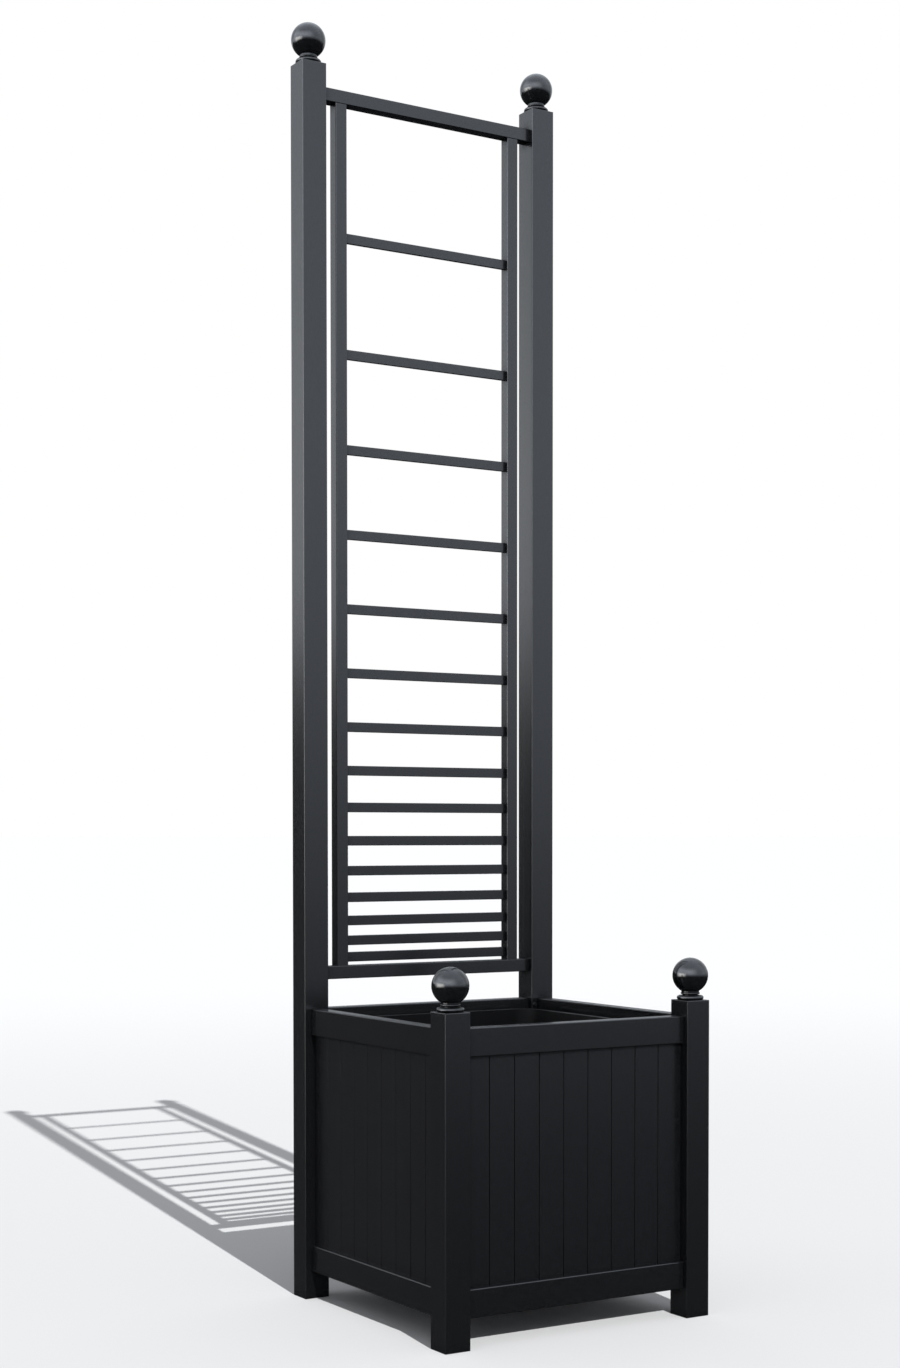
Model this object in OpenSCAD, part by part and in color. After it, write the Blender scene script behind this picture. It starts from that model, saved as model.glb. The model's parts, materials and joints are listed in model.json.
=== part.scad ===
// Square metal planter box with a ladder trellis between its two tall back posts.
// The origin is on the floor at the middle of the plan: X to the right, Y to the back, Z up.
// Box-section posts take the rails through cut-outs, the rails hold tongued boards in grooves,
// and a lift-out liner stands on slats inside.

/* [Planter] */
// Outside width, left to right
planter_w = 450; // [380:5:700]
// Outside depth, front to back
planter_d = 450; // [380:5:700]
// Height of the front posts, without their finials
front_post_h = 463; // [300:1:700]
// Height of the back posts, without their finials
back_post_h = 1860; // [1400:2:2200]

/* [Posts] */
// Side of the square posts
post_s = 40; // [36:1:55]
// Wall of the posts
post_wall = 2; // [1.5:0.1:3]
// Radius on the upright edges of the posts
post_r = 1; // [0.5:0.5:4]
// Thickness of the plate that closes a post
cap_t = 3; // [2.5:0.5:5]
// Radius on the top edges of that plate
cap_r = 1.2; // [0.6:0.2:2.2]
// Depth of the cap's skirt inside the post
skirt_h = 14; // [8:1:18]
// Wall of the cap's and the foot plug's skirts
skirt_wall = 2; // [1.2:0.2:3]
// Thickness of the foot plug's sole
sole_t = 4; // [2:0.5:8]
// Height of the foot plug
foot_plug_h = 20; // [12:1:36]

/* [Box rails] */
// Height of the rails round the box
rail_h = 40; // [32:1:60]
// Thickness of the rails round the box
rail_t = 20; // [18:0.5:24]
// Wall of the rails round the box
rail_wall = 1.8; // [1.2:0.1:2.4]
// Radius on the long edges of these rails
rail_r = 1.5; // [0.5:0.5:3]
// Floor to the underside of the bottom rails
foot_gap = 41.5; // [30:0.5:120]
// How far the front posts stand above the top rails
post_rise = 22.5; // [20:0.5:80]
// Gap between the ends of two rails that meet inside a post
rail_meet_gap = 1.5; // [0.5:0.5:3]

/* [Boards] */
// Boards on each side of the box
board_count = 9; // [5:1:14]
// Thickness of a board
board_t = 8; // [7:0.5:10]
// Wall of the hollow boards
board_wall = 1.3; // [1:0.1:1.8]
// Chamfer on the face edges of a board
board_chamfer = 0.4; // [0.2:0.1:1.5]
// Gap between the faces of two boards
board_gap = 1.2; // [0.2:0.1:2]
// How far a board's tongue enters the next board
tongue_l = 4; // [2:0.5:6]
// Thickness of a board's tongue
tongue_t = 2.4; // [1.6:0.2:3]
// How far the boards enter the rails
board_seat = 7; // [4:0.5:10]

/* [Trellis] */
// Side of the trellis's square top and bottom rails
trellis_rail_s = 20; // [16:1:26]
// Side of the square uprights that hold the rungs
stile_s = 19; // [14:0.5:20]
// Wall of the trellis rails and uprights
trellis_wall = 1.5; // [1:0.1:2]
// Radius on the edges of the trellis rails and uprights
trellis_r = 1.2; // [0.4:0.2:2]
// Back posts' tops down to the trellis's top rail
trellis_drop = 31.5; // [25:0.5:120]
// Box's top rail up to the trellis's bottom rail
trellis_gap = 43; // [20:1:120]
// Gap between a back post and the upright beside it
stile_gap = 21.3; // [12:0.1:60]
// Height of a rung
rung_h = 15; // [8:0.5:20]
// Thickness of a rung
rung_t = 5; // [3:0.5:8]
// Radius on the long edges of a rung
rung_r = 0.8; // [0.2:0.1:1.2]
// Length of the plug in each end of an upright
stile_plug_h = 24; // [16:1:60]

/* [Finials] */
// Diameter of the ball
ball_d = 52; // [40:1:70]
// Post top up to the middle of the ball
ball_rise = 35.5; // [30:0.5:60]
// Diameter of the neck below the ball
neck_d = 26; // [20:0.5:32]
// Diameter of the small bead round the foot of the neck
bead_d = 28; // [24:0.5:36]
// Height of the small bead
bead_h = 3; // [1.5:0.1:4]
// Width of the groove between the bead and the collar
groove_gap = 1.5; // [0.4:0.1:2]
// Depth of this groove from the neck's surface
groove_depth = 2; // [0.4:0.1:3]
// Diameter of the rounded collar on the post
collar_d = 39; // [32:0.5:50]
// Height of the rounded collar
collar_h = 6.5; // [4:0.5:9]
// Diameter of the stud that holds a finial on its cap
stud_d = 8; // [5:0.5:10]
// How far the stud enters the finial
stud_reach = 14; // [8:1:24]

/* [Liner and base] */
// Liner's rim to the posts, on each side
liner_gap = 10; // [6:0.5:40]
// Box's top rail down to the liner's rim
liner_drop = 14.5; // [2:0.5:80]
// Wall of the liner
liner_wall = 3; // [2:0.2:5]
// How far the rim stands out from the liner's wall
rim_w = 7; // [5:0.5:16]
// Height of the lip that hangs from the rim's edge
lip_h = 10; // [4:1:30]
// Thickness of this lip
lip_t = 2.4; // [1.5:0.1:4]
// Radius on the rim's corners
rim_corner_r = 38; // [24:1:80]
// Diameter of the drain holes
drain_d = 12; // [6:1:20]
// Drain hole from the middle of the liner, along X and Y
drain_reach = 100; // [40:5:120]
// Leg of the angles that carry the slats
ledger_s = 20; // [16:1:28]
// Thickness of these angles
ledger_t = 2; // [1.5:0.5:4]
// Underside of the bottom rails up to these angles
ledger_lift = 2; // [0:0.5:8]
// Slats under the liner
slat_count = 4; // [3:1:6]
// Width of a slat
slat_w = 40; // [25:1:44]
// Height of a slat
slat_h = 12; // [8:1:20]
// Wall of a slat
slat_wall = 1.5; // [1:0.1:2]

/* [Screws] */
// Diameter of the self-tapping screws
screw_d = 3.5; // [3:0.1:4.2]
// Head of the self-tapping screws
screw_head_d = 6.6; // [6:0.1:7.4]
// Length of the screws that lock the rails in the posts
lock_screw_l = 16; // [13:1:18]
// Length of the screws of the base
base_screw_l = 9; // [6:0.5:11]
// Diameter of the screws that hold the uprights
stile_screw_d = 5; // [4:0.5:6]
// How far these screws enter the plugs
stile_screw_reach = 16; // [8:1:22]

/* [Hidden] */
$fn = 64;

frame_colour = "#25282c";
finial_colour = "#2a2d31";
liner_colour = "#2f3134";
alloy_colour = "#9a9ea3";
steel_colour = "#b4b7bb";
plastic_colour = "#18191b";

// Clearance round what slides into a cut-out, a groove or a tube
fit = 0.15;
// Clearance round a screw in its hole
screw_fit = 0.08;
// Gap under the liner, which is lifted out
seat_gap = 0.3;
// How far a cutter runs past the face that it opens
over = 1;
// Depth left under the end of a groove or hole
end_room = 1;

// Gap under each rung from the bottom up, and over the last one, counted in equal steps
gap_steps = [1, 2, 3, 4, 5, 6, 7, 8, 10, 13, 16, 19, 22, 25, 31, 37];
rung_count = len(gap_steps) - 1;

function sum_to(list, last) = last < 0 ? 0 : list[last] + sum_to(list, last - 1);

// Pan-head screws: upright edge and crown of the head, its hexagon socket, and the point
screw_head_h = 2.2;
screw_head_edge = 1.2;
screw_crown_share = 0.7;
screw_socket_d = 2.6;
screw_socket_h = 1.2;
screw_tip_h = 3;
screw_tip_share = 0.3;
// Countersunk screws: the head is twice as wide as the shank, with sides at 45 degrees
flush_head_share = 2;
flush_socket_share = 0.6;

// Posts
post_x = planter_w / 2 - post_s / 2;
post_y = planter_d / 2 - post_s / 2;
post_inner = post_s - 2 * post_wall;
open_w = planter_w - 2 * post_s;
open_d = planter_d - 2 * post_s;
boss_wall = 3;
corners = [[-1, -1], [1, -1], [-1, 1], [1, 1]];

// Box rails, which enter the posts and almost meet there
post_strip = (post_s - rail_t) / 2;
rail_insert = post_strip - rail_meet_gap;
bottom_rail_z = foot_gap;
top_rail_z = front_post_h - post_rise - rail_h;
rail_levels = [bottom_rail_z, top_rail_z];
groove_w = board_t + 2 * fit;
groove_h = board_seat + end_room;
// Part of the rail's height that the groove leaves free
plain_h = rail_h - groove_h - rail_wall;
// Lock screws of the rails along X and along Y pass each other at two heights
lock_x_z = plain_h / 3;
lock_y_z = plain_h * 2 / 3;

// Boards
board_z = bottom_rail_z + rail_h - board_seat;
board_l = top_rail_z + board_seat - board_z;
tongue_slot_t = tongue_t + 2 * fit;
tongue_slot_l = tongue_l + end_room / 2;

// Trellis
trellis_bottom_z = front_post_h - post_rise + trellis_gap;
trellis_top_z = back_post_h - trellis_drop - trellis_rail_s;
stile_z = trellis_bottom_z + trellis_rail_s;
stile_l = trellis_top_z - stile_z;
stile_x = open_w / 2 - stile_gap - stile_s / 2;
rung_step = (stile_l - rung_count * rung_h) / sum_to(gap_steps, rung_count);
// A rung ends short of the screw in the upright's end plug
rung_insert = (stile_s - stile_screw_d) / 2 - end_room;
rung_l = 2 * (stile_x - stile_s / 2 + rung_insert);
stile_plug_s = stile_s - 2 * trellis_wall - 2 * fit;

// Finials
neck_root_z = collar_h + groove_gap;
stud_l = stud_reach + cap_t + skirt_h - end_room;

// Base and liner
rail_face_y = post_y - rail_t / 2;
ledger_z = bottom_rail_z + ledger_lift;
// The ledgers end clear of the heads of the lock screws
ledger_l = open_w - 2 * (screw_head_h + end_room);
slat_z = ledger_z + ledger_t;
slat_l = 2 * (rail_face_y - ledger_t - 2 * fit);
rim_sx = open_w - 2 * liner_gap;
rim_sy = open_d - 2 * liner_gap;
liner_sx = rim_sx - 2 * rim_w;
liner_sy = rim_sy - 2 * rim_w;
liner_z = slat_z + slat_h + seat_gap;
liner_h = front_post_h - post_rise - liner_drop - liner_z;
slat_pitch = (liner_sx - slat_w) / (slat_count - 1);

// All nodes
corner_names = ["front_left", "front_right", "back_left", "back_right"];
side_names = ["front", "back", "left", "right"];

// Rectangle with rounded corners, centred on the origin
module round_rect(w, h, r) {
    square([w - 2 * r, h], center = true);
    square([w, h - 2 * r], center = true);
    for (x = [-1, 1], y = [-1, 1])
        translate([x * (w / 2 - r), y * (h / 2 - r)])
            circle(r);
}

// Square tube section
module tube_section(s, wall, r) {
    difference() {
        round_rect(s, s, r);
        square(s - 2 * wall, center = true);
    }
}

// Lays an outline drawn in Y and Z along X, centred on X = 0
module along_x(l) {
    translate([-l / 2, 0, 0])
        rotate([90, 0, 90])
            linear_extrude(l)
                children();
}

// Puts what is drawn round a post's axis, with the box towards +X and +Y, on a corner
module at_corner(c) {
    translate([c.x * post_x, c.y * post_y, 0])
        mirror([c.x > 0 ? 1 : 0, 0, 0])
            mirror([0, c.y > 0 ? 1 : 0, 0])
                children();
}

// Puts what is drawn for the front side, with the box towards +Y, on side 0 to 3
module on_side(side) {
    if (side == 0)
        translate([0, -post_y, 0]) children();
    if (side == 1)
        mirror([0, 1, 0]) translate([0, -post_y, 0]) children();
    if (side == 2)
        translate([-post_x, 0, 0]) rotate([0, 0, -90]) children();
    if (side == 3)
        mirror([1, 0, 0]) translate([-post_x, 0, 0]) rotate([0, 0, -90]) children();
}

// Self-tapping screw with a pan head: it sits on Z = 0 and its shank runs down
module pan_screw(l) {
    color(steel_colour)
        difference() {
            union() {
                cylinder(d = screw_head_d, h = screw_head_edge);
                translate([0, 0, screw_head_edge])
                    cylinder(
                        d1 = screw_head_d,
                        d2 = screw_head_d * screw_crown_share,
                        h = screw_head_h - screw_head_edge
                    );
                translate([0, 0, screw_tip_h - l])
                    cylinder(d = screw_d, h = l - screw_tip_h);
                translate([0, 0, -l])
                    cylinder(d1 = screw_d * screw_tip_share, d2 = screw_d, h = screw_tip_h);
            }
            translate([0, 0, screw_head_h - screw_socket_h])
                cylinder(d = screw_socket_d, h = screw_socket_h + over, $fn = 6);
        }
}

// Height of a countersunk head
function flush_head_h(d) = (flush_head_share - 1) * d / 2;

// Countersunk screw: its head is flush with Z = 0 and its shank runs down
module flush_screw(d, l) {
    head_h = flush_head_h(d);
    color(steel_colour)
        difference() {
            union() {
                translate([0, 0, -head_h])
                    cylinder(d1 = d, d2 = flush_head_share * d, h = head_h);
                translate([0, 0, -l])
                    cylinder(d = d, h = l - head_h);
            }
            translate([0, 0, -head_h / 2])
                cylinder(d = d * flush_socket_share, h = head_h, $fn = 6);
        }
}

// Hole for a countersunk screw through a wall whose outer face is at Z = 0
module flush_hole(d, wall) {
    cone_h = flush_head_h(d) + screw_fit + over;
    hole_d = d + 2 * screw_fit;
    translate([0, 0, over - cone_h])
        cylinder(d1 = hole_d, d2 = hole_d + 2 * cone_h, h = cone_h);
    translate([0, 0, -wall - over])
        cylinder(d = hole_d, h = wall + over);
}

// Straight hole round Z = 0, for a screw that goes through a wall
module screw_hole(d, wall) {
    translate([0, 0, -wall - over])
        cylinder(d = d + 2 * screw_fit, h = wall + 2 * over);
}

// Height of a rail's lock screw, from the rail's underside
function lock_z(level, from_edge) = level == bottom_rail_z ? from_edge : rail_h - from_edge;

// Runs its children at the place and in the direction of each lock screw of a post
module at_lock_screws() {
    for (z = rail_levels) {
        translate([post_s / 2 - post_strip / 2, post_s / 2, z + lock_z(z, lock_x_z)])
            rotate([-90, 0, 0])
                children();
        translate([post_s / 2, post_s / 2 - post_strip / 2, z + lock_z(z, lock_y_z)])
            rotate([0, 90, 0])
                children();
    }
}

// Same for the lock screws of the trellis rails, on the back of a back post
module at_trellis_lock_screws() {
    for (z = [trellis_bottom_z, trellis_top_z])
        translate([post_s / 2 - post_strip / 2, -post_s / 2, z + trellis_rail_s / 2])
            rotate([90, 0, 0])
                children();
}

// Cutter for the cut-out in a post's +X face that takes the end of a rail
module rail_slot(h, t, r, z) {
    translate([post_s / 2 - post_wall / 2, 0, z + h / 2])
        along_x(post_wall + 2 * over)
            round_rect(t + 2 * fit, h + 2 * fit, r + fit);
}

// Post of box section, with cut-outs for the rails
module post(h, tall) {
    color(frame_colour)
        difference() {
            linear_extrude(h - cap_t)
                tube_section(post_s, post_wall, post_r);
            for (z = rail_levels) {
                rail_slot(rail_h, rail_t, rail_r, z);
                rotate([0, 0, 90])
                    rail_slot(rail_h, rail_t, rail_r, z);
            }
            at_lock_screws()
                screw_hole(screw_d, post_wall);
            if (tall) {
                for (z = [trellis_bottom_z, trellis_top_z])
                    rail_slot(trellis_rail_s, trellis_rail_s, trellis_r, z);
                at_trellis_lock_screws()
                    flush_hole(screw_d, post_wall);
            }
        }
}

function post_height(i) = corners[i].y < 0 ? front_post_h : back_post_h;

module corner_post(i) {
    at_corner(corners[i])
        post(post_height(i), corners[i].y > 0);
}

// Side view of the cap plate, with rounded top edges
module cap_profile() {
    translate([-post_s / 2, 0])
        square([post_s, cap_t - cap_r]);
    translate([-post_s / 2 + cap_r, 0])
        square([post_s - 2 * cap_r, cap_t]);
    for (x = [-1, 1])
        translate([x * (post_s / 2 - cap_r), cap_t - cap_r])
            circle(cap_r);
}

// Square skirt that fits inside a post
module skirt(h) {
    s = post_inner - 2 * fit;
    linear_extrude(h)
        difference() {
            square(s, center = true);
            square(s - 2 * skirt_wall, center = true);
        }
}

// Cap that closes a post and takes the finial's stud
module post_cap(i) {
    at_corner(corners[i])
        translate([0, 0, post_height(i) - cap_t])
            color(frame_colour)
                difference() {
                    union() {
                        intersection() {
                            linear_extrude(cap_t)
                                round_rect(post_s, post_s, post_r);
                            along_x(post_s)
                                cap_profile();
                            rotate([0, 0, 90])
                                along_x(post_s)
                                    cap_profile();
                        }
                        translate([0, 0, -skirt_h]) {
                            skirt(skirt_h);
                            cylinder(d = stud_d + 2 * boss_wall, h = skirt_h);
                        }
                    }
                    translate([0, 0, -skirt_h - over])
                        cylinder(d = stud_d + 2 * screw_fit, h = skirt_h + cap_t + 2 * over);
                }
}

// Ring with a half-round edge, standing on Z = 0
module round_ring(d, h) {
    translate([0, 0, h / 2])
        rotate_extrude()
            translate([d / 2 - h / 2, 0])
                circle(d = h);
    cylinder(d = d - h, h = h);
}

// Turned finial: collar, bead, neck and ball
module finial(i) {
    at_corner(corners[i])
        translate([0, 0, post_height(i)])
            color(finial_colour)
                difference() {
                    union() {
                        round_ring(collar_d, collar_h);
                        cylinder(d = neck_d - 2 * groove_depth, h = neck_root_z + bead_h);
                        translate([0, 0, neck_root_z])
                            round_ring(bead_d, bead_h);
                        translate([0, 0, neck_root_z])
                            cylinder(d = neck_d, h = ball_rise - neck_root_z);
                        translate([0, 0, ball_rise])
                            sphere(d = ball_d);
                    }
                    translate([0, 0, -over])
                        cylinder(d = stud_d + 2 * screw_fit, h = stud_reach + end_room + over);
                }
}

// Studs that join the finials to the caps
module finial_studs() {
    color(steel_colour)
        for (i = [0:3])
            at_corner(corners[i])
                translate([0, 0, post_height(i) + stud_reach - stud_l])
                    cylinder(d = stud_d, h = stud_l);
}

// Plugs that close the feet of the posts, flush with the floor
module foot_plugs() {
    color(plastic_colour)
        for (c = corners)
            at_corner(c) {
                linear_extrude(sole_t)
                    square(post_inner - 2 * fit, center = true);
                skirt(foot_plug_h);
            }
}

// Section of a box rail, centred, with its groove for the boards on the upper side
module rail_section() {
    difference() {
        round_rect(rail_t, rail_h, rail_r);
        difference() {
            square([rail_t - 2 * rail_wall, rail_h - 2 * rail_wall], center = true);
            translate([-groove_w / 2 - rail_wall, rail_h / 2 - groove_h - rail_wall])
                square([groove_w + 2 * rail_wall, groove_h + rail_wall]);
        }
        translate([-groove_w / 2, rail_h / 2 - groove_h])
            square([groove_w, groove_h + over]);
    }
}

// Rail of one side of the box: sides 0 and 1 run along X, sides 2 and 3 along Y
module box_rail(side, z) {
    span = side < 2 ? open_w : open_d;
    lock = lock_z(z, side < 2 ? lock_x_z : lock_y_z);
    on_side(side)
        translate([0, 0, z])
            color(frame_colour)
                difference() {
                    translate([0, 0, rail_h / 2])
                        along_x(span + 2 * rail_insert)
                            rotate(z == bottom_rail_z ? 0 : 180)
                                rail_section();
                    for (x = [-1, 1])
                        translate([x * (span / 2 + post_strip / 2), rail_t / 2, lock])
                            rotate([-90, 0, 0])
                                screw_hole(screw_d, rail_wall);
                    if (side < 2 && z == bottom_rail_z)
                        at_ledger_screws()
                            screw_hole(screw_d, rail_wall + ledger_t);
                }
}

// Screws that lock the rails in the posts, driven from inside the box
module rail_lock_screws() {
    for (c = corners)
        at_corner(c)
            at_lock_screws()
                pan_screw(lock_screw_l);
}

// Plan of one hollow board from X = 0 to w, with its face towards -Y
module board_outline(w, has_slot, has_tongue) {
    face_w = w - board_gap;
    slot_x = has_slot ? tongue_slot_l + board_wall : board_wall;
    cell_w = (face_w - slot_x - 2 * board_wall) / 2;
    difference() {
        union() {
            polygon([
                [board_chamfer, -board_t / 2],
                [face_w - board_chamfer, -board_t / 2],
                [face_w, -board_t / 2 + board_chamfer],
                [face_w, board_t / 2],
                [0, board_t / 2],
                [0, -board_t / 2 + board_chamfer]
            ]);
            if (has_tongue)
                translate([face_w - over, -tongue_t / 2])
                    square([over + board_gap + tongue_l, tongue_t]);
        }
        if (has_slot)
            translate([-over, -tongue_slot_t / 2])
                square([tongue_slot_l + over, tongue_slot_t]);
        for (i = [0, 1])
            translate([slot_x + i * (cell_w + board_wall), -board_t / 2 + board_wall])
                square([cell_w, board_t - 2 * board_wall]);
    }
}

// Row of separate tongued boards that closes one side of the box
module boards(side) {
    row_w = (side < 2 ? open_w : open_d) - 2 * fit;
    w = (row_w + board_gap) / board_count;
    on_side(side)
        translate([-row_w / 2, 0, board_z])
            color(frame_colour)
                for (i = [0:board_count - 1])
                    translate([i * w, 0, 0])
                        linear_extrude(board_l)
                            board_outline(w, i > 0, i < board_count - 1);
}

// Rail of the trellis, which enters both back posts
module trellis_rail(z, outward) {
    translate([0, post_y, z + trellis_rail_s / 2])
        color(frame_colour)
            difference() {
                along_x(open_w + 2 * rail_insert)
                    tube_section(trellis_rail_s, trellis_wall, trellis_r);
                for (x = [-1, 1]) {
                    translate([x * (open_w / 2 + post_strip / 2), trellis_rail_s / 2, 0])
                        rotate([-90, 0, 0])
                            screw_hole(screw_d, trellis_wall);
                    translate([x * stile_x, 0, 0])
                        mirror([0, 0, outward > 0 ? 0 : 1])
                            translate([0, 0, trellis_rail_s / 2]) {
                                flush_hole(stile_screw_d, trellis_wall);
                                screw_hole(stile_screw_d, trellis_rail_s);
                            }
                }
            }
}

// Underside of a rung, counted from 1 at the bottom
function rung_z(i) = stile_z + rung_step * sum_to(gap_steps, i - 1) + (i - 1) * rung_h;

// Cutters for the rungs' ends in an upright that stands on X = 0, with the rungs towards +X
module rung_pockets() {
    pocket_l = rung_insert + fit + over;
    for (i = [1:rung_count])
        translate([stile_s / 2 + over - pocket_l / 2, 0, rung_z(i) + rung_h / 2])
            along_x(pocket_l)
                round_rect(rung_t + 2 * fit, rung_h + 2 * fit, rung_r + fit);
}

// Upright of the trellis at side -1 or 1, with a slot in its inner wall for each rung
module trellis_upright(side) {
    translate([side * stile_x, post_y, 0])
        mirror([side > 0 ? 1 : 0, 0, 0])
            color(frame_colour)
                difference() {
                    translate([0, 0, stile_z])
                        linear_extrude(stile_l)
                            tube_section(stile_s, trellis_wall, trellis_r);
                    rung_pockets();
                }
}

// Flat bar that enters both uprights
module trellis_rung(i) {
    translate([0, post_y, rung_z(i) + rung_h / 2])
        color(frame_colour)
            along_x(rung_l)
                round_rect(rung_t, rung_h, rung_r);
}

// Runs its children at both ends of both uprights, as drawn for the upper end at the left,
// with the rail's outer face at Z = 0 and the rungs towards +X
module at_upright_ends() {
    for (side = [-1, 1])
        translate([side * stile_x, post_y, 0])
            mirror([side > 0 ? 1 : 0, 0, 0]) {
                translate([0, 0, trellis_top_z + trellis_rail_s])
                    children();
                translate([0, 0, trellis_bottom_z])
                    mirror([0, 0, 1])
                        children();
            }
}

// Threaded plugs in the ends of the uprights, with a pocket for a rung that meets one
module upright_end_plugs() {
    color(alloy_colour)
        difference() {
            at_upright_ends()
                translate([0, 0, -trellis_rail_s - stile_plug_h])
                    difference() {
                        linear_extrude(stile_plug_h)
                            square(stile_plug_s, center = true);
                        translate([0, 0, stile_plug_h - stile_screw_reach - end_room])
                            cylinder(
                                d = stile_screw_d + 2 * screw_fit,
                                h = stile_screw_reach + end_room + over
                            );
                    }
            for (side = [-1, 1])
                translate([side * stile_x, post_y, 0])
                    mirror([side > 0 ? 1 : 0, 0, 0])
                        rung_pockets();
        }
}

// Screws through the trellis rails into these plugs
module upright_screws() {
    at_upright_ends()
        flush_screw(stile_screw_d, trellis_rail_s + stile_screw_reach);
}

// Screws that lock the trellis rails in the back posts
module trellis_lock_screws() {
    for (c = corners)
        if (c.y > 0)
            at_corner(c)
                at_trellis_lock_screws()
                    flush_screw(screw_d, lock_screw_l);
}

// Middle of a slat, counted from 1
function slat_x(i) = -(liner_sx - slat_w) / 2 + (i - 1) * slat_pitch;

// Runs its children at the ledger's screws, drawn for a side's rail, heads towards the box
module at_ledger_screws() {
    for (i = [1:slat_count - 1])
        translate([
            slat_x(i) + slat_pitch / 2,
            rail_t / 2 + ledger_t,
            ledger_lift + ledger_t + (ledger_s - ledger_t) / 2
        ])
            rotate([-90, 0, 0])
                children();
}

// Runs its children at the slats' screws, heads down, for a side
module at_slat_screws() {
    for (i = [1:slat_count])
        translate([slat_x(i), rail_t / 2 + ledger_t + (ledger_s - ledger_t) / 2, ledger_z])
            mirror([0, 0, 1])
                children();
}

// Angle along a bottom rail that carries the slats
module base_ledger(side) {
    on_side(side)
        color(alloy_colour)
            difference() {
                translate([0, rail_t / 2, ledger_z])
                    along_x(ledger_l) {
                        square([ledger_t, ledger_s]);
                        square([ledger_s, ledger_t]);
                    }
                translate([0, 0, bottom_rail_z])
                    at_ledger_screws()
                        screw_hole(screw_d, ledger_t);
                at_slat_screws()
                    screw_hole(screw_d, ledger_t);
            }
}

// Hollow slat from the front ledger to the back one
module base_slat(i) {
    translate([slat_x(i), 0, slat_z + slat_h / 2])
        color(alloy_colour)
            difference() {
                rotate([0, 0, 90])
                    along_x(slat_l)
                        difference() {
                            square([slat_w, slat_h], center = true);
                            square([slat_w - 2 * slat_wall, slat_h - 2 * slat_wall], center = true);
                        }
                for (y = [-1, 1])
                    translate([0, y * (rail_face_y - ledger_t - (ledger_s - ledger_t) / 2), -slat_h / 2])
                        mirror([0, 0, 1])
                            screw_hole(screw_d, slat_wall);
            }
}

module ledger_screws() {
    for (side = [0, 1])
        on_side(side)
            translate([0, 0, bottom_rail_z])
                at_ledger_screws()
                    pan_screw(base_screw_l);
}

module slat_screws() {
    for (side = [0, 1])
        on_side(side)
            at_slat_screws()
                pan_screw(base_screw_l);
}

// Outline of the liner, drawn in from its rim by d
module liner_outline(d) {
    round_rect(rim_sx - 2 * d, rim_sy - 2 * d, rim_corner_r - d);
}

// Lift-out tub for the soil, with a turned-down rim and drain holes
module liner() {
    rim_z = liner_h - liner_wall;
    translate([0, 0, liner_z])
        color(liner_colour)
            difference() {
                union() {
                    linear_extrude(liner_h)
                        liner_outline(rim_w);
                    translate([0, 0, rim_z])
                        linear_extrude(liner_wall)
                            liner_outline(0);
                    translate([0, 0, liner_h - lip_h])
                        linear_extrude(lip_h)
                            difference() {
                                liner_outline(0);
                                liner_outline(lip_t);
                            }
                }
                translate([0, 0, liner_wall])
                    linear_extrude(liner_h)
                        liner_outline(rim_w + liner_wall);
                for (p = [[0, 0], [-1, -1], [1, -1], [-1, 1], [1, 1]])
                    translate([p.x * drain_reach, p.y * drain_reach, -over])
                        cylinder(d = drain_d, h = liner_wall + 2 * over);
            }
}

for (i = [0:3]) {
    corner_post(i);
    post_cap(i);
    finial(i);
    box_rail(i, top_rail_z);
    box_rail(i, bottom_rail_z);
    boards(i);
}
finial_studs();
foot_plugs();
rail_lock_screws();
trellis_rail(trellis_top_z, 1);  // trellis_top_rail
trellis_rail(trellis_bottom_z, -1);  // trellis_bottom_rail
trellis_upright(-1);  // trellis_upright_left
trellis_upright(1);  // trellis_upright_right
for (i = [1:rung_count]) {
    trellis_rung(i);
}
upright_end_plugs();
upright_screws();
trellis_lock_screws();
base_ledger(0);  // base_ledger_front
base_ledger(1);  // base_ledger_back
for (i = [1:slat_count]) {
    base_slat(i);
}
ledger_screws();
slat_screws();
liner();
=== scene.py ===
# Planter with trellis: the finishes, floor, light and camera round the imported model.
# Lengths are in metres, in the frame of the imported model: the origin is on the floor under the
# middle of the box, x runs to the right along its front, y to its back and z up.

import json
import math

import bmesh
import bpy
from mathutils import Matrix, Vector

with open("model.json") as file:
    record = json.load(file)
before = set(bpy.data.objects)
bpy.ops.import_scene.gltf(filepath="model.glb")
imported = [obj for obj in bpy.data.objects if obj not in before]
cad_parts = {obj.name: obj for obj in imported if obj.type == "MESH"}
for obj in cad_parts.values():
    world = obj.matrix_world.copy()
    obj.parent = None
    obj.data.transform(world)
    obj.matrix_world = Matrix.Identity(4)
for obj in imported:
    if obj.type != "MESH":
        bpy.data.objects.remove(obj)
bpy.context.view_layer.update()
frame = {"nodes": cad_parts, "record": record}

# Colours, in linear light
COAT_COLOUR = (0.0028, 0.0030, 0.0033)
BOARD_COLOUR = (0.0027, 0.0029, 0.0032)
FINIAL_COLOUR = (0.0026, 0.0028, 0.0031)
LINER_COLOUR = (0.0026, 0.0026, 0.0027)
PLASTIC_COLOUR = (0.0085, 0.0085, 0.0090)
ALUMINIUM_COLOUR = (0.50, 0.51, 0.52)
STEEL_COLOUR = (0.42, 0.42, 0.43)
BLACK_STEEL_COLOUR = (0.006, 0.006, 0.0065)
FLOOR_COLOUR = (0.86, 0.86, 0.86)
FAR_FLOOR_COLOUR = (0.98, 0.98, 0.98)
WHITE = (1.0, 1.0, 1.0)
BLACK = (0.0, 0.0, 0.0)

# The photograph and its camera, fitted to the straight edges of the object
PHOTO_WIDTH = 900
PHOTO_HEIGHT = 1368
FOCAL_LENGTH_PIXELS = 2151.3
PICTURE_AXIS = (488.36, 899.1)
CAMERA_PLACE = (-1.7192, -2.7037, 0.7063)
CAMERA_TURN = math.radians(32.23)
CAMERA_DIP = math.radians(1.758)
SENSOR = 36.0

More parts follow.
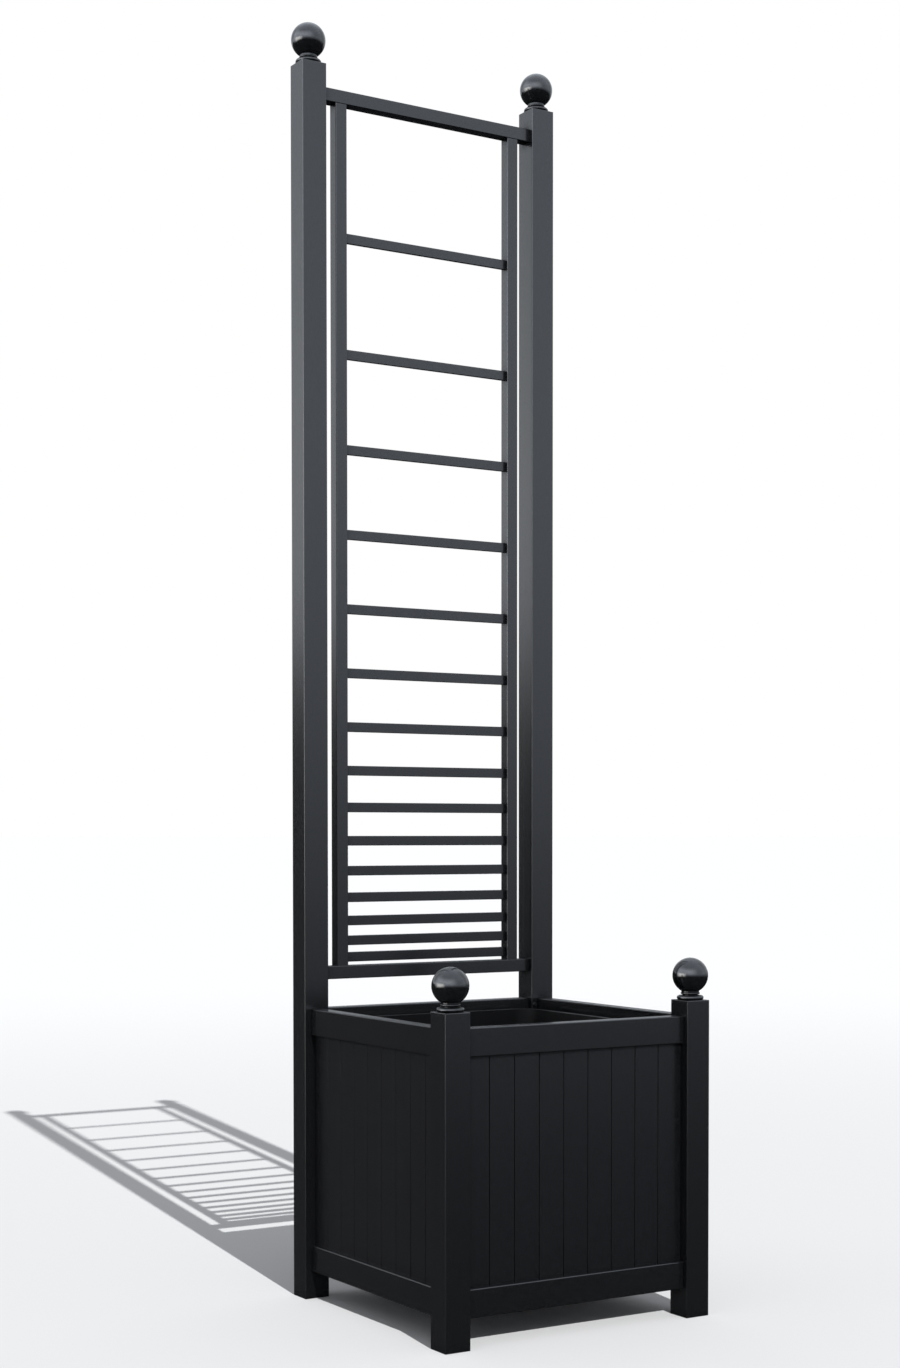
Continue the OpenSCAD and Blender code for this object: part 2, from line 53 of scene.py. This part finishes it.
# The middle of a noise, between which most of its change happens, and a wider one
NOISE_MIDDLE = (0.35, 0.65)
NOISE_WIDE = (0.3, 0.7)

# The coats' body under their smooth skin: its clouds, how rough it is, and its share of gloss
CLOUD_SIZE = 0.11
CLOUD_SHADES = (0.90, 1.12)
SMEAR_SIZE = 0.035
BODY_ROUGHNESS = (0.60, 0.70)
BODY_SPECULAR = 0.02
# Speckles: pale grains of the powder, with less skin over them
SPECKLE_SIZE = 0.0021
SPECKLE_SHARE = 0.6
SPECKLE_SHADE = 3.0
SPECKLED_SKIN = 0.80
# Painted highlights along edges, with a smoother gloss there: how far they reach, the cosine of the
# turn at which they are whole, their share, their shade, and how much smoother the gloss is
EDGE_REACH = 0.0022
EDGE_COSINE = 0.86
EDGE_HIGHLIGHT_SHARE = 0.35
EDGE_HIGHLIGHT_SHADE = 2.6
EDGE_SMOOTHING = 0.15
# Painted shade in corners and grooves, where less skin shows: how far from them it reaches, the open
# share of a point's surroundings where it is whole and where there is none, and how much skin shows in
# it
PAINTED_SHADE_REACH = 0.018
SHADED_OPENNESS = 0.48
UNSHADED_OPENNESS = 0.96
SHADED_SKIN = 0.30
# Orange peel and fine grain of the skin
PEEL_SIZE = 0.0026
PEEL_DEPTH = 0.00002
FINIAL_PEEL_DEPTH = 0.000002
GRAIN_SIZE = 0.0007
GRAIN_DEPTH = 0.000004
FINIAL_GRAIN_DEPTH = 0.0000004

# Moulded plastic and plating
PLASTIC_CLOUD_SIZE = 0.06
PLASTIC_SHADES = (0.85, 1.15)
PLASTIC_SMEAR_SIZE = 0.02
PLASTIC_ROUGHNESS_SPREAD = 0.05

# Bare metal: its dull patches, and its lines, drawn out along x in the aluminium
PATCH_SIZE = 0.015
PATCH_SHADES = (0.8, 1.1)
METAL_ROUGHNESS_SPREAD = 0.08
LINE_SIZE = 0.0006
LINE_DEPTH = 0.000004
DRAWN = (0.03, 1.0, 1.0)
NOT_DRAWN = (1.0, 1.0, 1.0)

# What lights the object: a sun in front of it and an even dome
SUN_TOWARDS = (-0.157, -0.988)
SUN_HEIGHT = math.radians(39)
SUN_STRENGTH = 3.2
SUN_WIDTH = math.radians(0.5)
DOME_LIGHT = (0.37, 0.38, 0.40)

# The surroundings that the gloss shows. Azimuths are in degrees, from x towards y. Pairs of
# cosines say how near to an azimuth a thing begins and is whole, and pairs of heights, of a
# direction one metre long, between which heights it comes or goes.
SKY_LIGHT = (1.60, 1.73, 1.97)
HIGH_SKY_LIGHT = (1.86, 2.00, 2.28)
HIGH_SKY = (0.36, 0.62)
# The pale background behind the object
BACKGROUND_LIGHT = (1.02, 1.08, 1.16)
BACKGROUND_AZIMUTH = 57.8
BACKGROUND_NEARNESS = (0.10, 0.45)
BACKGROUND_END = (0.60, 0.95)
# The ground, lighter on the left
GROUND_LIGHT = (0.019, 0.021, 0.024)
LEFT_GROUND_LIGHT = (0.072, 0.075, 0.078)
LEFT_AZIMUTH = 150.0
LEFT_NEARNESS = (0.20, 0.80)
# Glows in the sky: azimuth, nearness, heights of its start and of its end, and colour
GLOWS = (
    (202.0, (0.00, 0.95), (-0.05, 0.38), (0.40, 0.82), (3.1, 3.3, 3.6)),
    (175.0, (0.82, 1.00), (-1.00, -0.90), (0.14, 0.275), (7.9, 7.7, 7.1)),
    (150.0, (0.72, 1.00), (-1.00, -0.90), (0.12, 0.34), (1.28, 1.30, 1.34)),
)
# Heights between which the ground turns into the sky, and the azimuths near which these differ
HAZE = (-0.172, 0.180)
HAZES = (
    (172.0, (0.75, 0.97), (-0.17, 0.04)),
    (108.0, (0.883, 0.966), (0.057, 0.100)),
    (BACKGROUND_AZIMUTH, (0.766, 0.927), (0.00, 0.28)),
)

# The floor: its radius, its depth under the feet, and between which distances it gets paler
FLOOR_REACH = 400.0
FLOOR_DROP = 0.0002
FLOOR_SIDES = 96
FLOOR_PALES = (1.0, 7.0)


def add(tree, kind, inputs=(), **settings):
    """Adds a node. An input is a number, a tuple or another node's output."""
    node = tree.nodes.new(kind)
    for name, value in settings.items():
        setattr(node, name, value)
    for key, value in dict(inputs).items():
        if isinstance(value, bpy.types.NodeSocket):
            tree.links.new(value, node.inputs[key])
        else:
            node.inputs[key].default_value = value
    return node


def math_of(tree, operation, first, second=0.0):
    """The result of one sum, product or the like."""
    node = add(tree, "ShaderNodeMath", {0: first, 1: second}, operation=operation)
    return node.outputs[0]


def spread(tree, value, old, new_low, new_high):
    """A value carried smoothly from one range, a pair, to another."""
    node = add(
        tree,
        "ShaderNodeMapRange",
        {"Value": value, "From Min": old[0], "From Max": old[1], "To Min": new_low, "To Max": new_high},
        interpolation_type="SMOOTHSTEP",
    )
    return node.outputs["Result"]


def noise(tree, place, size, detail=2.0, roughness=0.5):
    """Noise whose features are about size metres across, from 0 to 1."""
    node = add(
        tree,
        "ShaderNodeTexNoise",
        {"Vector": place, "Scale": 1.0 / size, "Detail": detail, "Roughness": roughness},
    )
    return node.outputs["Fac"]


def mixed(tree, share, first, second):
    """A colour between two colours."""
    node = add(tree, "ShaderNodeMix", {0: share, 6: first, 7: second}, data_type="RGBA")
    return node.outputs[2]


def between(tree, share, first, second):
    """A number between two numbers."""
    node = add(tree, "ShaderNodeMix", {0: share, 2: first, 3: second})
    return node.outputs[0]


def shade(colour, factor):
    """A colour made lighter or darker, with the alpha that a socket needs."""
    return tuple(part * factor for part in colour) + (1.0,)


def plain(colour):
    """A colour as it is, with the alpha that a socket needs."""
    return tuple(colour) + (1.0,)


def bump(tree, height, depth, normal=None):
    """A surface raised by height times depth, in metres."""
    inputs = {"Height": height, "Distance": depth, "Strength": 1.0}
    if normal is not None:
        inputs["Normal"] = normal
    return add(tree, "ShaderNodeBump", inputs).outputs["Normal"]


def new_material(name):
    """An empty material and its tree."""
    material = bpy.data.materials.new(name)
    material.use_nodes = True
    material.node_tree.nodes.clear()
    return material, material.node_tree


def own_place(tree):
    """Where a point is on its own piece, so that a finish moves with it."""
    return add(tree, "ShaderNodeTexCoord").outputs["Object"]


def show(tree, shader):
    """Makes a shader the material's surface."""
    add(tree, "ShaderNodeOutputMaterial", {"Surface": shader.outputs[0]})


def edge_share(tree):
    """From 0 on a flat face to 1 on a sharp or rounded edge."""
    rounded = add(tree, "ShaderNodeBevel", {"Radius": EDGE_REACH}, samples=4).outputs["Normal"]
    true = add(tree, "ShaderNodeNewGeometry").outputs["True Normal"]
    product = add(tree, "ShaderNodeVectorMath", {0: rounded, 1: true}, operation="DOT_PRODUCT")
    return spread(tree, product.outputs["Value"], (1.0, EDGE_COSINE), 0.0, 1.0)


def unshaded_skin(tree):
    """The share of smooth skin that shows: less in corners and grooves, as painted shade there."""
    node = add(tree, "ShaderNodeAmbientOcclusion", {"Distance": PAINTED_SHADE_REACH}, samples=6)
    return spread(tree, node.outputs["AO"], (SHADED_OPENNESS, UNSHADED_OPENNESS), SHADED_SKIN, 1.0)


def coat(name, colour, skin_roughness, peel_depth, grain_depth):
    """Powder coat: a dull cloudy body under a smooth skin, orange peel, fine grain, painted highlights
    on edges and painted shade in corners.
    """
    material, tree = new_material(name)
    place = own_place(tree)

    clouds = noise(tree, place, CLOUD_SIZE, detail=3.0)
    speckle = noise(tree, place, SPECKLE_SIZE, detail=1.0)
    edges = edge_share(tree)
    shaded = mixed(tree, clouds, shade(colour, CLOUD_SHADES[0]), shade(colour, CLOUD_SHADES[1]))
    pale = spread(tree, speckle, NOISE_MIDDLE, 0.0, SPECKLE_SHARE)
    speckled = mixed(tree, pale, shaded, shade(colour, SPECKLE_SHADE))
    # Painted highlight: the colour is made lighter along edges.
    highlight_share = math_of(tree, "MULTIPLY", edges, EDGE_HIGHLIGHT_SHARE)
    highlighted = mixed(tree, highlight_share, speckled, shade(colour, EDGE_HIGHLIGHT_SHADE))

    smears = noise(tree, place, SMEAR_SIZE, detail=4.0, roughness=0.6)
    cloudy = spread(tree, smears, NOISE_WIDE, BODY_ROUGHNESS[0], BODY_ROUGHNESS[1])
    gloss = math_of(tree, "SUBTRACT", cloudy, math_of(tree, "MULTIPLY", edges, EDGE_SMOOTHING))
    covered = spread(tree, speckle, NOISE_MIDDLE, 1.0, SPECKLED_SKIN)
    # Painted shade: less skin, so less gloss, in corners and grooves.
    skin = math_of(tree, "MULTIPLY", unshaded_skin(tree), covered)

    peel = noise(tree, place, PEEL_SIZE, detail=1.0)
    grain = noise(tree, place, GRAIN_SIZE, detail=2.0)
    surface = bump(tree, grain, grain_depth, bump(tree, peel, peel_depth))

    shader = add(
        tree,
        "ShaderNodeBsdfPrincipled",
        {
            "Base Color": highlighted,
            "Roughness": gloss,
            "Specular IOR Level": BODY_SPECULAR,
            "Coat Weight": skin,
            "Coat Roughness": skin_roughness,
            "Normal": surface,
            "Coat Normal": surface,
        },
    )
    show(tree, shader)
    return material


def plastic(name, colour, roughness, specular, grain_size, grain_depth):
    """Moulded plastic or plating: a fine etched grain and slightly cloudy gloss."""
    material, tree = new_material(name)
    place = own_place(tree)
    clouds = noise(tree, place, PLASTIC_CLOUD_SIZE, detail=3.0)
    colours = mixed(tree, clouds, shade(colour, PLASTIC_SHADES[0]), shade(colour, PLASTIC_SHADES[1]))
    smears = noise(tree, place, PLASTIC_SMEAR_SIZE)
    smooth = roughness - PLASTIC_ROUGHNESS_SPREAD
    rough = roughness + PLASTIC_ROUGHNESS_SPREAD
    gloss = spread(tree, smears, NOISE_WIDE, smooth, rough)
    surface = bump(tree, noise(tree, place, grain_size, detail=1.0), grain_depth)
    shader = add(
        tree,
        "ShaderNodeBsdfPrincipled",
        {"Base Color": colours, "Roughness": gloss, "Specular IOR Level": specular, "Normal": surface},
    )
    show(tree, shader)
    return material


def metal(name, colour, roughness, stretch):
    """Bare metal: fine lines and dull patches."""
    material, tree = new_material(name)
    place = own_place(tree)
    stretched = add(tree, "ShaderNodeMapping", {"Vector": place, "Scale": stretch}).outputs["Vector"]
    lines = noise(tree, stretched, LINE_SIZE, detail=3.0)
    patches = noise(tree, place, PATCH_SIZE, detail=3.0)
    colours = mixed(tree, patches, shade(colour, PATCH_SHADES[0]), shade(colour, PATCH_SHADES[1]))
    smooth = roughness - METAL_ROUGHNESS_SPREAD
    rough = roughness + METAL_ROUGHNESS_SPREAD
    gloss = spread(tree, patches, NOISE_WIDE, smooth, rough)
    shader = add(
        tree,
        "ShaderNodeBsdfPrincipled",
        {
            "Base Color": colours,
            "Metallic": 1.0,
            "Roughness": gloss,
            "Normal": bump(tree, lines, LINE_DEPTH),
        },
    )
    show(tree, shader)
    return material


def finish_nodes():
    """Gives every node of the model the finish that its slot in the record names."""
    finishes = {
        "powder_coat": coat(
            "frame_coat",
            COAT_COLOUR,
            skin_roughness=0.19,
            peel_depth=PEEL_DEPTH,
            grain_depth=GRAIN_DEPTH,
        ),
        "board_coat": coat(
            "boards_coat",
            BOARD_COLOUR,
            skin_roughness=0.21,
            peel_depth=PEEL_DEPTH,
            grain_depth=GRAIN_DEPTH,
        ),
        "finial_coat": coat(
            "finials_coat",
            FINIAL_COLOUR,
            skin_roughness=0.09,
            peel_depth=FINIAL_PEEL_DEPTH,
            grain_depth=FINIAL_GRAIN_DEPTH,
        ),
        "liner_plastic": plastic(
            "liner_grain",
            LINER_COLOUR,
            roughness=0.5,
            specular=0.08,
            grain_size=0.0008,
            grain_depth=0.000012,
        ),
        "black_plastic": plastic(
            "plug_grain",
            PLASTIC_COLOUR,
            roughness=0.5,
            specular=0.3,
            grain_size=0.0006,
            grain_depth=0.00001,
        ),
        "black_steel": plastic(
            "black_plating",
            BLACK_STEEL_COLOUR,
            roughness=0.5,
            specular=0.15,
            grain_size=0.0006,
            grain_depth=0.000004,
        ),
        "mill_aluminium": metal("drawn_aluminium", ALUMINIUM_COLOUR, roughness=0.38, stretch=DRAWN),
        "stainless_steel": metal("screw_steel", STEEL_COLOUR, roughness=0.3, stretch=NOT_DRAWN),
    }
    for part in frame["record"]["subparts"]:
        mesh = frame["nodes"][part["node"]].data
        mesh.materials.clear()
        mesh.materials.append(finishes[part["material_slot"]])


def floor():
    """A plain pale floor, a little paler far away, where it meets the background."""
    mesh = bpy.data.meshes.new("floor")
    shape = bmesh.new()
    bmesh.ops.create_circle(shape, cap_ends=True, radius=FLOOR_REACH, segments=FLOOR_SIDES)
    shape.to_mesh(mesh)
    shape.free()
    piece = bpy.data.objects.new("floor", mesh)
    piece.location.z = -FLOOR_DROP
    # The gloss shows the darker ground of the surroundings instead, as in the photograph.
    piece.visible_glossy = False
    bpy.context.scene.collection.objects.link(piece)

    material, tree = new_material("floor_paint")
    reach = add(tree, "ShaderNodeVectorMath", {0: own_place(tree)}, operation="LENGTH").outputs["Value"]
    far = spread(tree, reach, FLOOR_PALES, 0.0, 1.0)
    colours = mixed(tree, far, plain(FLOOR_COLOUR), plain(FAR_FLOOR_COLOUR))
    show(tree, add(tree, "ShaderNodeBsdfDiffuse", {"Color": colours}))
    mesh.materials.append(material)


def aim(azimuth):
    """A level direction one metre long."""
    turn = math.radians(azimuth)
    return (math.cos(turn), math.sin(turn), 0.0)


def along(tree, direction, towards):
    """How far a direction points towards another, from -1 to 1."""
    node = add(tree, "ShaderNodeVectorMath", {0: direction, 1: towards}, operation="DOT_PRODUCT")
    return node.outputs["Value"]


def nearness(tree, level, azimuth, pair):
    """From 0 to 1 as a level direction comes near to an azimuth."""
    return spread(tree, along(tree, level, aim(azimuth)), pair, 0.0, 1.0)


def sky_and_glows(tree, height, level):
    """The sky, the pale background in it and the glows."""
    high = spread(tree, height, HIGH_SKY, 0.0, 1.0)
    seen = mixed(tree, high, plain(SKY_LIGHT), plain(HIGH_SKY_LIGHT))
    behind = nearness(tree, level, BACKGROUND_AZIMUTH, BACKGROUND_NEARNESS)
    below = spread(tree, height, BACKGROUND_END, 1.0, 0.0)
    seen = mixed(tree, math_of(tree, "MULTIPLY", behind, below), seen, plain(BACKGROUND_LIGHT))
    for azimuth, pair, start, end, colour in GLOWS:
        share = nearness(tree, level, azimuth, pair)
        share = math_of(tree, "MULTIPLY", share, spread(tree, height, start, 0.0, 1.0))
        share = math_of(tree, "MULTIPLY", share, spread(tree, height, end, 1.0, 0.0))
        glow = mixed(tree, share, plain(BLACK), plain(colour))
        seen = add(
            tree,
            "ShaderNodeMix",
            {0: 1.0, 6: seen, 7: glow},
            data_type="RGBA",
            blend_type="ADD",
        ).outputs[2]
    return seen


def surroundings(tree, direction):
    """Sky, glows and ground, as far as the gloss shows them."""
    height = along(tree, direction, (0.0, 0.0, 1.0))
    flat = add(tree, "ShaderNodeVectorMath", {0: direction, 1: (1.0, 1.0, 0.0)}, operation="MULTIPLY")
    level = add(tree, "ShaderNodeVectorMath", {0: flat.outputs[0]}, operation="NORMALIZE").outputs[0]

    above = sky_and_glows(tree, height, level)
    low, full = HAZE
    for azimuth, pair, heights in HAZES:
        share = nearness(tree, level, azimuth, pair)
        low = between(tree, share, low, heights[0])
        full = between(tree, share, full, heights[1])
    leftward = nearness(tree, level, LEFT_AZIMUTH, LEFT_NEARNESS)
    ground = mixed(tree, leftward, plain(GROUND_LIGHT), plain(LEFT_GROUND_LIGHT))
    return mixed(tree, spread(tree, height, (low, full), 0.0, 1.0), ground, above)


def sky():
    """White for the camera, the surroundings for the gloss and glass, an even dome for the rest."""
    world = bpy.data.worlds.new("studio")
    bpy.context.scene.world = world
    world.use_nodes = True
    tree = world.node_tree
    tree.nodes.clear()
    direction = add(tree, "ShaderNodeTexCoord").outputs["Generated"]
    path = add(tree, "ShaderNodeLightPath").outputs
    seen = mixed(tree, path["Is Camera Ray"], surroundings(tree, direction), plain(WHITE))
    looked_at = math_of(tree, "MAXIMUM", path["Is Camera Ray"], path["Is Glossy Ray"])
    shown = math_of(tree, "MAXIMUM", looked_at, path["Is Transmission Ray"])
    colour = mixed(tree, shown, plain(DOME_LIGHT), seen)
    background = add(tree, "ShaderNodeBackground", {"Color": colour, "Strength": 1.0})
    add(tree, "ShaderNodeOutputWorld", {"Surface": background.outputs[0]})


def sun():
    """A lamp in front of the object that casts its shadow behind it."""
    lamp = bpy.data.lights.new("sun", "SUN")
    lamp.energy = SUN_STRENGTH
    lamp.angle = SUN_WIDTH
    holder = bpy.data.objects.new("sun", lamp)
    level = Vector(SUN_TOWARDS + (0.0,)).normalized() * math.cos(SUN_HEIGHT)
    towards = level + Vector((0.0, 0.0, math.sin(SUN_HEIGHT)))
    holder.rotation_euler = towards.to_track_quat("Z", "Y").to_euler()
    # The photograph's coat shows no sharp light of a sun.
    holder.visible_glossy = False
    bpy.context.scene.collection.objects.link(holder)


def camera():
    """The photograph's camera, with its picture axis shifted as the photograph's is."""
    lens = bpy.data.cameras.new("camera")
    lens.sensor_width = SENSOR
    lens.lens = FOCAL_LENGTH_PIXELS * SENSOR / PHOTO_HEIGHT
    lens.shift_x = (PHOTO_WIDTH / 2 - PICTURE_AXIS[0]) / PHOTO_HEIGHT
    lens.shift_y = (PICTURE_AXIS[1] - PHOTO_HEIGHT / 2) / PHOTO_HEIGHT
    holder = bpy.data.objects.new("camera", lens)
    holder.location = CAMERA_PLACE
    holder.rotation_euler = (math.radians(90) - CAMERA_DIP, 0.0, -CAMERA_TURN)
    bpy.context.scene.collection.objects.link(holder)
    bpy.context.scene.camera = holder


camera()
finish_nodes()
floor()
sky()
sun()
bpy.context.scene.view_settings.view_transform = "Standard"
